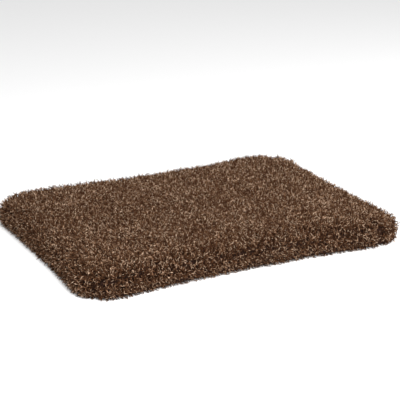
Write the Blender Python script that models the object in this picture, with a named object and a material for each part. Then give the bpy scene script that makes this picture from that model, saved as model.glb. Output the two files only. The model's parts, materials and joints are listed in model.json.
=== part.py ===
"""Pet cushion bed: a curly-pile cover sewn round polyester fibre, closed by a woven base.

Origin at the middle of the footprint on the floor, +X along the long side, +Z up. Metres.
"""

import math

import bmesh
import bpy
from mathutils import Matrix

# Driving sizes, over the tips of the pile
BED_LENGTH = 0.760
BED_WIDTH = 0.575
EDGE_HEIGHT = 0.061
CROWN_RISE = 0.016
CORNER_RADIUS = 0.088
LONG_SIDE_PULL_IN = 0.018
SHORT_SIDE_PULL_IN = 0.004
PILE_SHOULDER_RADIUS = 0.027
PILE_FOOT_RADIUS = 0.018

# Cloth
PILE_DEPTH = 0.013
BACKING_THICKNESS = 0.0014
BASE_THICKNESS = 0.0010

# The sewn cushion under the pile
SHOULDER_RADIUS = 0.017
FOOT_RADIUS = 0.012
SHOULDER_END_ANGLE = math.radians(80)

# Seams, each the two cloths' edges sewn flat together
SEAM_THICKNESS = 0.0024
SEAM_ALLOWANCE = 0.009
DART_ALLOWANCE = 0.008
DART_TOP_ANGLE = math.radians(60)
CLOSING_LENGTH = 0.160
CLOSING_ALLOWANCE = 0.006

# Care label, sewn into the base seam on the back, from the seam's line outwards
LABEL_WIDTH = 0.032
LABEL_THICKNESS = 0.0008
LABEL_REACH = 0.034
LABEL_FROM_MIDDLE = 0.120

# How far a cutter runs on past the piece it cuts
CUTTER_OVERRUN = 0.005

# Clearances
CLOTH_GAP = 0.0004
SEAM_GAP = 0.0006
FIBRE_GAP = 0.0006
LABEL_GAP = 0.0003

# How finely the round stretches are drawn
CORNER_STEPS = 8
LONG_SIDE_STEPS = 8
SHORT_SIDE_STEPS = 6
FOOT_STEPS = 4
SHOULDER_STEPS = 5
CROWN_SCALES = (0.84, 0.62, 0.36, 0.12)
WELD_DISTANCE = 0.00001

SEWN_EDGE_HEIGHT = EDGE_HEIGHT - PILE_DEPTH


def clear_scene():
    for old in list(bpy.data.objects):
        bpy.data.objects.remove(old)


def new_collection(name):
    collection = bpy.data.collections.new(name)
    bpy.context.scene.collection.children.link(collection)
    return collection


def new_material(name, colour, roughness, metallic=0.0):
    material = bpy.data.materials.new(name)
    material.use_nodes = True
    shader = material.node_tree.nodes["Principled BSDF"]
    shader.inputs["Base Color"].default_value = (*colour, 1)
    shader.inputs["Roughness"].default_value = roughness
    shader.inputs["Metallic"].default_value = metallic
    material.diffuse_color = (*colour, 1)
    return material


def add_object(name, data, collection, material=None):
    added = bpy.data.objects.new(name, data)
    collection.objects.link(added)
    if material:
        data.materials.append(material)
    return added


# The plan outline: four corner arcs joined, each tangent to the next, by sides that pull in


def side_arc(along, across, half_span, pull_in):
    """Radius and centre distance of the arc that pulls a side in by pull_in at its middle.

    along and across place the corner arc's centre; half_span is the half size over that side.
    """
    drop = half_span - pull_in - across
    radius = (along**2 + drop**2 - CORNER_RADIUS**2) / (2 * pull_in)
    return radius, half_span - pull_in + radius


CORNER_X = BED_LENGTH / 2 - CORNER_RADIUS
CORNER_Y = BED_WIDTH / 2 - CORNER_RADIUS
LONG_ARC = side_arc(CORNER_X, CORNER_Y, BED_WIDTH / 2, LONG_SIDE_PULL_IN)
SHORT_ARC = side_arc(CORNER_Y, CORNER_X, BED_LENGTH / 2, SHORT_SIDE_PULL_IN)
LONG_HALF_ANGLE = math.atan2(CORNER_X, LONG_ARC[1] - CORNER_Y)
SHORT_HALF_ANGLE = math.atan2(CORNER_Y, SHORT_ARC[1] - CORNER_X)
CORNER_MIDDLE_ANGLE = (math.pi / 2 + LONG_HALF_ANGLE - SHORT_HALF_ANGLE) / 2


def stretch(start, end, steps):
    """Angles from start, included, to end, left out."""
    return [start + (end - start) * step / steps for step in range(steps)]


def plan_outline(inset):
    """(x, y) points round the bed, a true parallel of its outline set in by inset."""
    corner = CORNER_RADIUS - inset
    points = []
    for turn in (0, 1):
        sign = 1 - 2 * turn
        for angle in stretch(-SHORT_HALF_ANGLE, math.pi / 2 + LONG_HALF_ANGLE, CORNER_STEPS):
            x = CORNER_X + corner * math.cos(angle)
            y = CORNER_Y + corner * math.sin(angle)
            points.append((sign * x, sign * y))
        radius, centre = LONG_ARC[0] + inset, LONG_ARC[1]
        for angle in stretch(LONG_HALF_ANGLE, -LONG_HALF_ANGLE, LONG_SIDE_STEPS):
            points.append((sign * radius * math.sin(angle), sign * (centre - radius * math.cos(angle))))
        for angle in stretch(math.pi / 2 - LONG_HALF_ANGLE, math.pi + SHORT_HALF_ANGLE, CORNER_STEPS):
            x = -CORNER_X + corner * math.cos(angle)
            y = CORNER_Y + corner * math.sin(angle)
            points.append((sign * x, sign * y))
        radius, centre = SHORT_ARC[0] + inset, SHORT_ARC[1]
        for angle in stretch(SHORT_HALF_ANGLE, -SHORT_HALF_ANGLE, SHORT_SIDE_STEPS):
            points.append((-sign * (centre - radius * math.cos(angle)), sign * radius * math.sin(angle)))
    return points


# The side section: a foot arc, an upright stretch and a shoulder arc, as (inset, height)


def foot_arc(radius, depth):
    """The arc from the floor side to the upright, depth inside radius, never below the floor."""
    start = -math.asin(min(1.0, radius / (radius - depth)))
    angles = [start * (1 - step / FOOT_STEPS) for step in range(FOOT_STEPS + 1)]
    reach = radius - depth
    return [(radius - reach * math.cos(angle), radius + reach * math.sin(angle)) for angle in angles]


def shoulder_arc(radius, depth, top, end=SHOULDER_END_ANGLE):
    """The arc from the upright to the end angle, depth inside radius, below the height top."""
    angles = [end * step / SHOULDER_STEPS for step in range(SHOULDER_STEPS + 1)]
    reach = radius - depth
    rise = top - radius
    return [(radius - reach * math.cos(angle), rise + reach * math.sin(angle)) for angle in angles]


def sewn_section(depth):
    """The cushion's side, depth inside the outer face of the backing cloth."""
    side = foot_arc(FOOT_RADIUS, depth) + shoulder_arc(SHOULDER_RADIUS, depth, SEWN_EDGE_HEIGHT)
    return [(PILE_DEPTH + inset, height) for inset, height in side]


def pile_section():
    """The side of the pile's tips, from the floor to the top of the shoulder."""
    return foot_arc(PILE_FOOT_RADIUS, 0) + shoulder_arc(PILE_SHOULDER_RADIUS, 0, EDGE_HEIGHT)


def rings_of(section):
    return [[(x, y, height) for x, y in plan_outline(inset)] for inset, height in section]


def crown_rings(edge_ring):
    """The crowned top above edge_ring, as rings that shrink to the middle."""
    return [
        [(x * scale, y * scale, z + CROWN_RISE * (1 - scale**2)) for x, y, z in edge_ring]
        for scale in CROWN_SCALES
    ]


def loft(name, rings, collection, material):
    """A closed body through the rings, with a flat face inside the first and the last."""
    count = len(rings[0])
    points = [point for ring in rings for point in ring]
    faces = [tuple(reversed(range(count))), tuple(range(len(points) - count, len(points)))]
    for lower in range(0, len(points) - count, count):
        for step in range(count):
            after = (step + 1) % count
            faces.append((lower + step, lower + after, lower + count + after, lower + count + step))
    mesh = bpy.data.meshes.new(name)
    mesh.from_pydata(points, [], faces)
    mesh.shade_smooth()
    mesh.set_sharp_from_angle(angle=math.radians(40))
    return add_object(name, mesh, collection, material)


def cup(name, outer_section, inner_section, collection, material):
    """A wall, open below, between an outer and an inner side and crown."""
    outer, inner = rings_of(outer_section), rings_of(inner_section)
    outer += crown_rings(outer[-1])
    inner += crown_rings(inner[-1])
    return loft(name, inner[::-1] + outer, collection, material)


def mesh_of_curve(source):
    """The curve as a mesh object of the same name and place, its caps welded."""
    graph = bpy.context.evaluated_depsgraph_get()
    mesh = bpy.data.meshes.new_from_object(source.evaluated_get(graph))
    welded = bmesh.new()
    welded.from_mesh(mesh)
    bmesh.ops.remove_doubles(welded, verts=welded.verts, dist=WELD_DISTANCE)
    welded.to_mesh(mesh)
    welded.free()
    made = bpy.data.objects.new("mesh_of_" + source.name, mesh)
    for collection in source.users_collection:
        collection.objects.link(made)
    made.matrix_world = source.matrix_world
    bpy.data.objects.remove(source)
    return made


def subtract(target, cutter):
    cut = target.modifiers.new("cut_" + cutter.name, "BOOLEAN")
    cut.operation = "DIFFERENCE"
    cut.solver = "EXACT"
    cut.object = cutter
    cutter.hide_render = True
    cutter.display_type = "WIRE"


def flat_curve(name, outline, thickness, collection, material=None):
    """A filled flat outline, thickness deep, centred on its own plane."""
    curve = bpy.data.curves.new(name, "CURVE")
    curve.dimensions = "2D"
    curve.fill_mode = "BOTH"
    curve.extrude = thickness / 2
    spline = curve.splines.new("POLY")
    spline.points.add(len(outline) - 1)
    for point, (x, y) in zip(spline.points, outline):
        point.co = (x, y, 0, 1)
    spline.use_cyclic_u = True
    return add_object(name, curve, collection, material)


def seam_ridge(name, path, base_height, allowance, collection, material):
    """An upright strip of seam allowance along path, standing on base_height."""
    curve = bpy.data.curves.new(name, "CURVE")
    curve.dimensions = "3D"
    curve.fill_mode = "FULL"
    curve.bevel_depth = SEAM_THICKNESS / 2
    curve.bevel_resolution = 0
    curve.extrude = (allowance - SEAM_THICKNESS) / 2
    curve.use_fill_caps = True
    spline = curve.splines.new("POLY")
    spline.points.add(len(path) - 1)
    for point, (x, y) in zip(spline.points, path):
        point.co = (x, y, base_height + allowance / 2, 1)
    return add_object(name, curve, collection, material)


# Pieces


def make_pile(collection):
    material = new_material("pile_fibre", (0.107, 0.062, 0.040), 0.95)
    return cup("pile_layer", pile_section(), sewn_section(-CLOTH_GAP), collection, material)


def make_backing(collection):
    """The knitted ground of the cover, which the pile is rooted in."""
    material = new_material("backing_knit", (0.060, 0.035, 0.024), 0.9)
    return cup("backing_cloth", sewn_section(0), sewn_section(BACKING_THICKNESS), collection, material)


def make_base(collection):
    """The woven sheet under the bed, its edge meeting the backing's edge at the base seam."""
    material = new_material("base_weave", (0.030, 0.022, 0.018), 0.8)
    outline = plan_outline(PILE_DEPTH + FOOT_RADIUS + CLOTH_GAP)
    panel = flat_curve("base_panel", outline, BASE_THICKNESS, collection, material)
    panel.location.z = BASE_THICKNESS / 2
    return panel


def seam_path():
    """The base seam's line, as a closed run that starts at the middle of the back."""
    points = plan_outline(PILE_DEPTH + FOOT_RADIUS)
    start = CORNER_STEPS + LONG_SIDE_STEPS // 2
    return points[start:] + points[:start]


def between(first, second, share):
    return tuple(a + (b - a) * share for a, b in zip(first, second))


def split_seam_path():
    """The seam's line in two: the stretch over the filling gap, and the rest of the way round."""
    path = seam_path()
    half_gap = CLOSING_LENGTH / 2
    left = next(i for i, point in enumerate(path) if point[0] < -half_gap)
    share = (-half_gap - path[left - 1][0]) / (path[left][0] - path[left - 1][0])
    left_end = between(path[left - 1], path[left], share)
    right = len(path) - left
    right_end = (-left_end[0], left_end[1])
    closing = [right_end, *path[right + 1 :], *path[:left], left_end]
    rest = [left_end, *path[left : right + 1], right_end]
    return closing, rest


def trimmed(path, cut):
    """The path with cut taken off its two end stretches."""
    ends = []
    for end, inner in ((path[0], path[1]), (path[-1], path[-2])):
        ends.append(between(end, inner, cut / math.dist(end, inner)))
    return [ends[0], *path[1:-1], ends[1]]


def make_base_seams(collection):
    """The overlocked seam allowance turned up inside, and the lower one that closes the gap."""
    material = new_material("seam_thread", (0.045, 0.030, 0.022), 0.85)
    closing, rest = split_seam_path()
    stand = BACKING_THICKNESS + CLOTH_GAP
    seam_ridge("perimeter_seam", rest, stand, SEAM_ALLOWANCE, collection, material)
    path = trimmed(closing, SEAM_GAP)
    seam_ridge("closing_seam", path, stand, CLOSING_ALLOWANCE, collection, material)


def dart_fin(outer_depth, inner_depth, foot, top_angle):
    """The fin's outline in its upright plane, as (inset from the corner's outermost line, height)."""
    outer = shoulder_arc(SHOULDER_RADIUS, outer_depth, SEWN_EDGE_HEIGHT, top_angle)
    inner = shoulder_arc(SHOULDER_RADIUS, inner_depth, SEWN_EDGE_HEIGHT, top_angle)
    return [(outer_depth, foot), *outer, *reversed(inner), (inner_depth, foot)]


def make_corner_seams(collection, cutters, fibre):
    """Four sewn darts that box the corners, each a fin of allowance inside the backing."""
    outer = BACKING_THICKNESS + SEAM_GAP
    inner = outer + DART_ALLOWANCE
    foot = max(FOOT_RADIUS, outer + SEAM_ALLOWANCE + SEAM_GAP)
    fin = dart_fin(outer, inner, foot, DART_TOP_ANGLE)
    slot_inner = inner + FIBRE_GAP
    slot_top_angle = DART_TOP_ANGLE + FIBRE_GAP / (SHOULDER_RADIUS - slot_inner)
    slot = dart_fin(0, slot_inner, foot - CUTTER_OVERRUN, slot_top_angle)
    material = bpy.data.materials["seam_thread"]
    outward = CORNER_RADIUS - PILE_DEPTH
    for x_name, x_side in (("left", -1), ("right", 1)):
        for y_name, y_side in (("front", -1), ("back", 1)):
            corner_x = x_side * (CORNER_X + outward * math.cos(CORNER_MIDDLE_ANGLE))
            corner_y = y_side * (CORNER_Y + outward * math.sin(CORNER_MIDDLE_ANGLE))
            heading = math.atan2(
                y_side * math.sin(CORNER_MIDDLE_ANGLE), x_side * math.cos(CORNER_MIDDLE_ANGLE)
            )
            inward = Matrix.Rotation(heading + math.pi, 4, "Z")
            upright = Matrix.Rotation(math.pi / 2, 4, "X")
            place = Matrix.Translation((corner_x, corner_y, 0)) @ inward @ upright
            name = f"corner_seam_{y_name}_{x_name}"
            seam = flat_curve(name, fin, SEAM_THICKNESS, collection, material)
            seam.matrix_world = place
            cutter = flat_curve("slot_" + name, slot, SEAM_THICKNESS + 2 * FIBRE_GAP, cutters)
            cutter.matrix_world = place
            subtract(fibre, mesh_of_curve(cutter))


def make_fibre(collection):
    """The loose fibre filling, which packs in over the seam allowance all round the base."""
    material = new_material("polyester_fibre", (0.85, 0.84, 0.80), 0.95)
    depth = BACKING_THICKNESS + FIBRE_GAP
    seam_inset = PILE_DEPTH + FOOT_RADIUS + SEAM_THICKNESS / 2 + FIBRE_GAP
    seam_top = BACKING_THICKNESS + CLOTH_GAP + SEAM_ALLOWANCE + FIBRE_GAP
    ledge = max(seam_top, FOOT_RADIUS)
    side = [
        (seam_inset, BASE_THICKNESS + FIBRE_GAP),
        (seam_inset, seam_top),
        (PILE_DEPTH + depth, ledge),
    ]
    shoulder = shoulder_arc(SHOULDER_RADIUS, depth, SEWN_EDGE_HEIGHT)
    side += [(PILE_DEPTH + inset, height) for inset, height in shoulder]
    rings = rings_of(side)
    rings += crown_rings(rings[-1])
    return loft("fibre_fill", rings, collection, material)


def box(name, low, high, place, collection, material=None):
    """A box from its low corner to its high one, in the frame that place gives."""
    mesh = bpy.data.meshes.new(name)
    shape = bmesh.new()
    bmesh.ops.create_cube(shape, size=1)
    bmesh.ops.scale(shape, vec=[b - a for a, b in zip(low, high)], verts=shape.verts)
    bmesh.ops.translate(shape, vec=[(a + b) / 2 for a, b in zip(low, high)], verts=shape.verts)
    shape.to_mesh(mesh)
    shape.free()
    made = add_object(name, mesh, collection, material)
    made.matrix_world = place
    return made


def make_label(collection, cutters, pile, backing):
    """A folded blank ribbon that leaves the base seam on the back and lies along the floor."""
    material = new_material("label_satin", (0.80, 0.79, 0.76), 0.5)
    radius = LONG_ARC[0] + PILE_DEPTH + FOOT_RADIUS
    turn = math.asin(LABEL_FROM_MIDDLE / radius)
    seam_y = LONG_ARC[1] - radius * math.cos(turn)
    place = Matrix.Translation((LABEL_FROM_MIDDLE, seam_y, 0)) @ Matrix.Rotation(turn, 4, "Z")
    low = (-LABEL_WIDTH / 2, SEAM_GAP, LABEL_GAP)
    high = (LABEL_WIDTH / 2, LABEL_REACH, LABEL_GAP + LABEL_THICKNESS)
    box("care_label", low, high, place, collection, material)
    notch_low = (low[0] - LABEL_GAP, -CUTTER_OVERRUN, -CUTTER_OVERRUN)
    notch_high = [value + LABEL_GAP for value in high]
    notch = box("label_notch", notch_low, notch_high, place, cutters)
    subtract(pile, notch)
    subtract(backing, notch)


def main():
    clear_scene()
    parts = new_collection("pet_cushion_bed")
    cutters = new_collection("cutters")
    pile = make_pile(parts)
    backing = make_backing(parts)
    make_base(parts)
    make_base_seams(parts)
    fibre = make_fibre(parts)
    make_corner_seams(parts, cutters, fibre)
    make_label(parts, cutters, pile, backing)


main()
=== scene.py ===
import json
import math

import bmesh
import bpy
import numpy as np
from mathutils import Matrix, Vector, noise

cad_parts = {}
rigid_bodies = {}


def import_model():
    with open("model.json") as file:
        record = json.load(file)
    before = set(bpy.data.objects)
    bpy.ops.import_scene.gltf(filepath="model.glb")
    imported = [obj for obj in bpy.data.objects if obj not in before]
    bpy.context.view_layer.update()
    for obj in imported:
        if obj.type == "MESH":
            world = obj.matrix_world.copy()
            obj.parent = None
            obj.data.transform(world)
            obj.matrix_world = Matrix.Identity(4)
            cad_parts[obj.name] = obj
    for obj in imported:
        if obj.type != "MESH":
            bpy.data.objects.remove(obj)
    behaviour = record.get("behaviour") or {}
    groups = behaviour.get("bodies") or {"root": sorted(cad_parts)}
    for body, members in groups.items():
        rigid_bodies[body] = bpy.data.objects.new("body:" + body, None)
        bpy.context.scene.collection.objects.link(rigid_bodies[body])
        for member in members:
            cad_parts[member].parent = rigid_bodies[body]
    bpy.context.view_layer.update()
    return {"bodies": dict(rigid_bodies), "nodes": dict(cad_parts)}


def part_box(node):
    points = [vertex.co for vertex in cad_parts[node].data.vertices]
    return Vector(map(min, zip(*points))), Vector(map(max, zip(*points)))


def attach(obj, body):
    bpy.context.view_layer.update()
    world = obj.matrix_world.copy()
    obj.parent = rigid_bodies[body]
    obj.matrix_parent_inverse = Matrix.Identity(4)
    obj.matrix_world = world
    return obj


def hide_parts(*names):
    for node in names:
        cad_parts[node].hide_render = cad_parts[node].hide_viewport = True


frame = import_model()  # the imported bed, which sets every place below
bedBody = next(iter(frame["bodies"]))
layLow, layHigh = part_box("pile_layer")
backingLow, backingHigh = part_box("backing_cloth")


def say(text):
    print("bed:", text, flush=True)


def linearColour(hexText):
    channels = [int(hexText[i : i + 2], 16) / 255 for i in (0, 2, 4)]
    bent = [c / 12.92 if c <= 0.04045 else ((c + 0.055) / 1.055) ** 2.4 for c in channels]
    return (*bent, 1.0)


def firstLive(sockets):
    return next(socket for socket in sockets if socket.enabled)


def addNode(tree, kind, inputs=None, **settings):
    # inputs go by name or place, and take a value, an output socket, or a node for its first output
    made = tree.nodes.new(kind)
    for name, value in settings.items():
        setattr(made, name, value)
    for key, value in (inputs or {}).items():
        if isinstance(key, int):
            socket = made.inputs[key]
        else:
            socket = firstLive(s for s in made.inputs if s.name == key)
        if isinstance(value, bpy.types.Node):
            value = firstLive(value.outputs)
        if isinstance(value, bpy.types.NodeSocket):
            tree.links.new(value, socket)
        else:
            socket.default_value = value
    return made


def newMaterial(name, roughness, **constants):
    material = bpy.data.materials.new(name)
    material.use_nodes = True
    tree = material.node_tree
    shader = tree.nodes["Principled BSDF"]
    shader.inputs["Roughness"].default_value = roughness
    for key, value in constants.items():
        shader.inputs[key.replace("_", " ")].default_value = value
    return material, tree, shader


def meshFrom(name, points, faces):
    mesh = bpy.data.meshes.new(name)
    mesh.from_pydata([tuple(point) for point in points], [], faces)
    mesh.update()
    mesh.shade_smooth()
    return mesh


def newPiece(name, mesh, material=None):
    piece = bpy.data.objects.new(name, mesh)
    bpy.context.scene.collection.objects.link(piece)
    if material:
        mesh.materials.clear()
        mesh.materials.append(material)
    return piece


def turnOutward(mesh):
    # on a closed shape, makes every face point out
    shape = bmesh.new()
    shape.from_mesh(mesh)
    bmesh.ops.recalc_face_normals(shape, faces=shape.faces)
    shape.to_mesh(mesh)
    shape.free()
    return mesh


def evaluatedMesh(source, name):
    graph = bpy.context.evaluated_depsgraph_get()
    mesh = bpy.data.meshes.new_from_object(source.evaluated_get(graph))
    mesh.name = name
    return mesh


def pointsOf(mesh):
    flat = np.zeros(len(mesh.vertices) * 3, np.float32)
    mesh.vertices.foreach_get("co", flat)
    return flat.reshape(-1, 3).astype(float)


def setPoints(mesh, points):
    mesh.vertices.foreach_set("co", np.asarray(points, np.float32).ravel())
    mesh.update()


def normalsOf(mesh):
    flat = np.zeros(len(mesh.vertices) * 3, np.float32)
    mesh.vertices.foreach_get("normal", flat)
    return flat.reshape(-1, 3).astype(float)


def smoothNoise(points, size, seed):
    # one value from -1 to 1 for each point, its lumps about size across
    shift = Vector((seed * 17.3, seed * 5.9, seed * 11.1))
    return np.array([noise.noise(Vector(point) / size + shift) for point in points])


# the studio: the bed from its front left, plain white floor, broad soft light

studio = {
    "azimuth": -27.1,
    "elevation": 19.3,
    "distance": 2.88,
    "target": (0.0595, 0.0920, 0.030),
    "lens": 113.3,
    "sensor": 36.0,
    "floorHalf": 8.0,
    "floorColour": "f8f8f8",
    "floorRoughness": 0.9,
    "worldColour": "ffffff",
    "worldStrength": 0.68,
    "lights": {              # place, size in metres and watts
        "keyLight": ((-0.5, -2.5, 1.9), 1.5, 140.0),
        "fillLight": ((2.4, -1.0, 0.75), 1.2, 33.0),
    },
}


def makeStudio():
    scene = bpy.context.scene
    scene.view_settings.view_transform = "Standard"
    data = bpy.data.cameras.new("studioCamera")
    data.lens = studio["lens"]
    data.sensor_width = studio["sensor"]
    camera = bpy.data.objects.new("studioCamera", data)
    scene.collection.objects.link(camera)
    turn, rise = math.radians(studio["azimuth"]), math.radians(studio["elevation"])
    back = Vector((math.sin(turn) * math.cos(rise), -math.cos(turn) * math.cos(rise), math.sin(rise)))
    camera.location = Vector(studio["target"]) + back * studio["distance"]
    camera.rotation_euler = (-back).to_track_quat("-Z", "Y").to_euler()
    scene.camera = camera
    world = bpy.data.worlds.new("studioWorld")
    world.use_nodes = True
    background = world.node_tree.nodes["Background"]
    background.inputs["Color"].default_value = linearColour(studio["worldColour"])
    background.inputs["Strength"].default_value = studio["worldStrength"]
    scene.world = world
    for name, (place, size, power) in studio["lights"].items():
        lamp = bpy.data.lights.new(name, "AREA")
        lamp.size = size
        lamp.energy = power
        light = bpy.data.objects.new(name, lamp)
        light.location = place
        light.rotation_euler = (-Vector(place)).to_track_quat("-Z", "Y").to_euler()
        scene.collection.objects.link(light)
    half = studio["floorHalf"]
    corners = [(-half, -half, 0), (half, -half, 0), (half, half, 0), (-half, half, 0)]
    material, _, shader = newMaterial("paintedFloor", studio["floorRoughness"])
    shader.inputs["Base Color"].default_value = linearColour(studio["floorColour"])
    newPiece("studio_floor", meshFrom("studio_floor", corners, [(0, 1, 2, 3)]), material)


# the plan outline: four corner arcs joined, each tangent to the next, by sides that pull in

plan = {
    "cornerRadius": 0.088,   # over the tips of the pile
    "longPullIn": 0.018,
    "shortPullIn": 0.004,
    "pileDepth": 0.013,      # from the tips in to the sewn cushion
    "footRadius": 0.012,
    "shoulderRadius": 0.017,
    "shoulderEnd": math.radians(80),
    "crownRise": 0.016,
    "footSteps": 6,
    "shoulderSteps": 7,
}

cornerX = layHigh.x - plan["cornerRadius"]
cornerY = layHigh.y - plan["cornerRadius"]
seamInset = plan["pileDepth"] + plan["footRadius"]


def sideArc(along, across, half, pullIn):
    # radius and centre distance of the arc that pulls a side in by pullIn at its middle
    drop = half - pullIn - across
    radius = (along**2 + drop**2 - plan["cornerRadius"] ** 2) / (2 * pullIn)
    return radius, half - pullIn + radius


longRadius, longCentre = sideArc(cornerX, cornerY, layHigh.y, plan["longPullIn"])
shortRadius, shortCentre = sideArc(cornerY, cornerX, layHigh.x, plan["shortPullIn"])
longHalf = math.atan2(cornerX, longCentre - cornerY)
shortHalf = math.atan2(cornerY, shortCentre - cornerX)
dartAngle = (math.pi / 2 + longHalf - shortHalf) / 2


def planOutline(inset, step=0.008):
    # points round the bed from the right end of the back right corner, set in by inset
    corner = plan["cornerRadius"] - inset
    stretches = [
        (cornerX, cornerY, corner, -shortHalf, math.pi / 2 + longHalf),
        (0.0, longCentre, -longRadius - inset, math.pi / 2 + longHalf, math.pi / 2 - longHalf),
        (-cornerX, cornerY, corner, math.pi / 2 - longHalf, math.pi + shortHalf),
        (-shortCentre, 0.0, -shortRadius - inset, math.pi + shortHalf, math.pi - shortHalf),
    ]
    points = []
    for x, y, radius, start, end in stretches:
        count = max(2, round(abs(radius * (end - start)) / step))
        for angle in np.linspace(start, end, count, endpoint=False):
            points.append((x + radius * math.cos(angle), y + radius * math.sin(angle)))
    return points + [(-x, -y) for x, y in points]


def planPlace(points):
    # how far each point is inside the outline, and the way out of it there
    x, y = np.abs(points[:, 0]), np.abs(points[:, 1])
    fromCornerX, fromCornerY = x - cornerX, y - cornerY
    reach = np.hypot(fromCornerX, fromCornerY)
    angle = np.arctan2(fromCornerY, fromCornerX)
    inCorner = (angle > -shortHalf) & (angle < math.pi / 2 + longHalf)
    longReach = np.hypot(x, longCentre - y)
    shortReach = np.hypot(shortCentre - x, y)
    longInset, shortInset = longReach - longRadius, shortReach - shortRadius
    nearLong = longInset < shortInset
    inset = np.where(inCorner, plan["cornerRadius"] - reach, np.where(nearLong, longInset, shortInset))
    outX = np.where(nearLong, -x / longReach, (shortCentre - x) / shortReach)
    outY = np.where(nearLong, (longCentre - y) / longReach, -y / shortReach)
    outX = np.where(inCorner, fromCornerX / np.maximum(reach, 1e-6), outX)
    outY = np.where(inCorner, fromCornerY / np.maximum(reach, 1e-6), outY)
    return inset, np.stack([outX * np.sign(points[:, 0]), outY * np.sign(points[:, 1])], 1)


def sewnSection(depth):
    # the side of the cushion, depth inside the cover's face, from the base seam to the crown's edge
    foot, shoulder = plan["footRadius"], plan["shoulderRadius"]
    top = backingHigh.z - plan["crownRise"]
    side = []
    for angle in np.linspace(-math.pi / 2, 0, plan["footSteps"]):
        side.append((foot - (foot - depth) * math.cos(angle), foot + (foot - depth) * math.sin(angle)))
    for angle in np.linspace(0, plan["shoulderEnd"], plan["shoulderSteps"]):
        reach = shoulder - depth
        side.append((shoulder - reach * math.cos(angle), top - shoulder + reach * math.sin(angle)))
    return [(plan["pileDepth"] + inset, height) for inset, height in side]


# the stuffed cushion: a slightly small closed form, swollen by its fill, boxed in by four corner darts

cushion = {
    "startDepth": 0.003,
    "voxel": 0.006,
    "crownScales": (0.96, 0.90, 0.80, 0.66, 0.50, 0.34, 0.18, 0.06),
    "pressure": 4.0,
    "frames": 20,
    "swellCap": 0.006,
    "crownSag": 0.002,
    "sagFrom": 0.026,        # the cloth below this height keeps its place as the crown sags
    "baseHeld": 0.004,       # the cloth below this height is held by the base seam
    "dartDepth": 0.005,
    "dartWidth": 0.008,
    "dartHeld": 0.004,       # to either side of a dart's line the cloth can't swell
    "lumpSize": 0.11,
    "lumpDepth": 0.0022,
    "fineLumpSize": 0.035,
    "fineLumpDepth": 0.0007,
    "lumpFade": 0.02,        # lumps fade out below this height
    "tuckStart": 0.45,       # where darts begin on the way out to the corner, as a share of its radius
    "tuckFade": 0.40,
    "tuckFoot": 0.012,
}

# the one crease that shows, tucked in beside the front right dart

crease = {
    "angle": math.radians(81),
    "depth": 0.009,
    "width": 0.0085,
    "slit": 0.006,           # the pile is shorter within this of the line
    "shorter": 0.4,
    "reach": 0.013,          # and leans away from it within this
    "away": 1.6,
}


def cornerLine(points, angle):
    # how far a point is to one side of a line out of the nearest corner's centre, and how far along it
    x, y = np.abs(points[:, 0]) - cornerX, np.abs(points[:, 1]) - cornerY
    c, s = math.cos(angle), math.sin(angle)
    return y * c - x * s, x * c + y * s


def lineShare(points, angle, width):
    # 1 on the line where the cover turns down the corner, fading to either side of it
    aside, along = cornerLine(points, angle)
    out = along / (plan["cornerRadius"] - plan["pileDepth"])
    reached = np.clip((out - cushion["tuckStart"]) / cushion["tuckFade"], 0, 1)
    raised = np.clip(points[:, 2] / cushion["tuckFoot"], 0, 1)
    return np.exp(-((aside / width) ** 2)) * reached * raised


def dartShare(points, width):
    return lineShare(points, dartAngle, width)


def creaseShare(points, width):
    # at the front right corner the cloth is also tucked in beside the dart
    atCorner = (points[:, 0] > 0) & (points[:, 1] < 0)
    return lineShare(points, crease["angle"], width) * atCorner


def makeCushionForm():
    rings = []
    for inset, height in sewnSection(cushion["startDepth"]):
        rings.append([(x, y, height) for x, y in planOutline(inset)])
    edge = planOutline(sewnSection(cushion["startDepth"])[-1][0])
    edgeHeight = rings[-1][0][2]
    for scale in cushion["crownScales"]:
        height = edgeHeight + plan["crownRise"] * (1 - scale**2)
        rings.append([(x * scale, y * scale, height) for x, y in edge])
    # every ring is laid out afresh, so all of them are brought to the same number of points
    count = min(len(ring) for ring in rings)
    rings = [[ring[round(i * len(ring) / count) % len(ring)] for i in range(count)] for ring in rings]
    points = [point for ring in rings for point in ring]
    faces = [tuple(reversed(range(count))), tuple(range(len(points) - count, len(points)))]
    for low in range(0, len(points) - count, count):
        for i in range(count):
            after = (i + 1) % count
            faces.append((low + i, low + after, low + count + after, low + count + i))
    form = newPiece("cushion_form", meshFrom("cushion_form", points, faces))
    remesh = form.modifiers.new("evenCloth", "REMESH")
    remesh.mode = "VOXEL"
    remesh.voxel_size = cushion["voxel"]
    remesh.use_smooth_shade = True
    even = newPiece("cushion_cloth", evaluatedMesh(form, "cushion_cloth"))
    bpy.data.objects.remove(form)
    return even


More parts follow.
